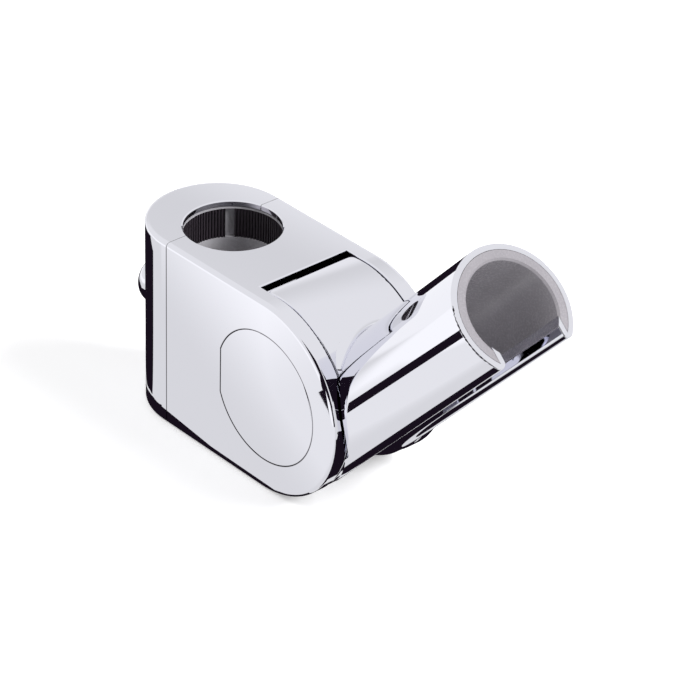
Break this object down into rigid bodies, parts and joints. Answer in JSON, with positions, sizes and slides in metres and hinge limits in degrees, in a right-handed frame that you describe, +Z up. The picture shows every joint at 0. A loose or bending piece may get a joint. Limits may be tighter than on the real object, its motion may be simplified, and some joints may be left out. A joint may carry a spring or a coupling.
{
  "type": "shower rail slider",
  "caption": "Polished slider for a vertical shower rail, with a sprung release button at the rear and a tilting slotted tube that holds a hand shower.",
  "frame": {"origin": "on the rail's axis, at mid height of the body", "axes": "+Z up along the rail, +X from the rail towards the holder, +Y to the holder's right as seen from in front of its nose"},
  "size_m": [0.1409, 0.0378, 0.0869],
  "materials": {
    "chrome": "polished",
    "insert_plastic": "satin",
    "liner_plastic": "satin",
    "grip_rubber": "matte",
    "slide_plastic": "satin",
    "washer_plastic": "satin",
    "flange_brass": "turned",
    "steel": "plain"
  },
  "bodies": {
    "body": {"main_body": "chrome", "rear_cap": "chrome", "upper_liner": "liner_plastic", "lower_liner": "liner_plastic", "upper_grip_ring": "grip_rubber", "lower_grip_ring": "grip_rubber", "button_spring": "steel", "side_cover_left": "chrome", "side_cover_right": "chrome", "pivot_flange_left": "flange_brass", "pivot_flange_right": "flange_brass", "pivot_bolt": "steel", "pivot_nut": "steel", "disc_spring": "steel", "friction_washer_left": "washer_plastic", "friction_washer_right": "washer_plastic"},
    "holder": {"holder": "chrome", "holder_insert": "insert_plastic"},
    "button": {"release_button": "chrome", "lock_slide": "slide_plastic", "button_screw": "steel"}
  },
  "joints": [
    {"name": "tilt", "type": "hinge", "parent": "body", "child": "holder", "pos_m": [0.0341, 0, 0], "axis": [0, -1, 0], "range_deg": [-45, 30]},
    {"name": "button_press", "type": "slide", "parent": "body", "child": "button", "axis": [1, 0, 0], "range_m": [0, 0.002], "stiffness_N_per_m": 4000, "springref_m": -0.002, "deforming": ["button_spring"]}
  ]
}
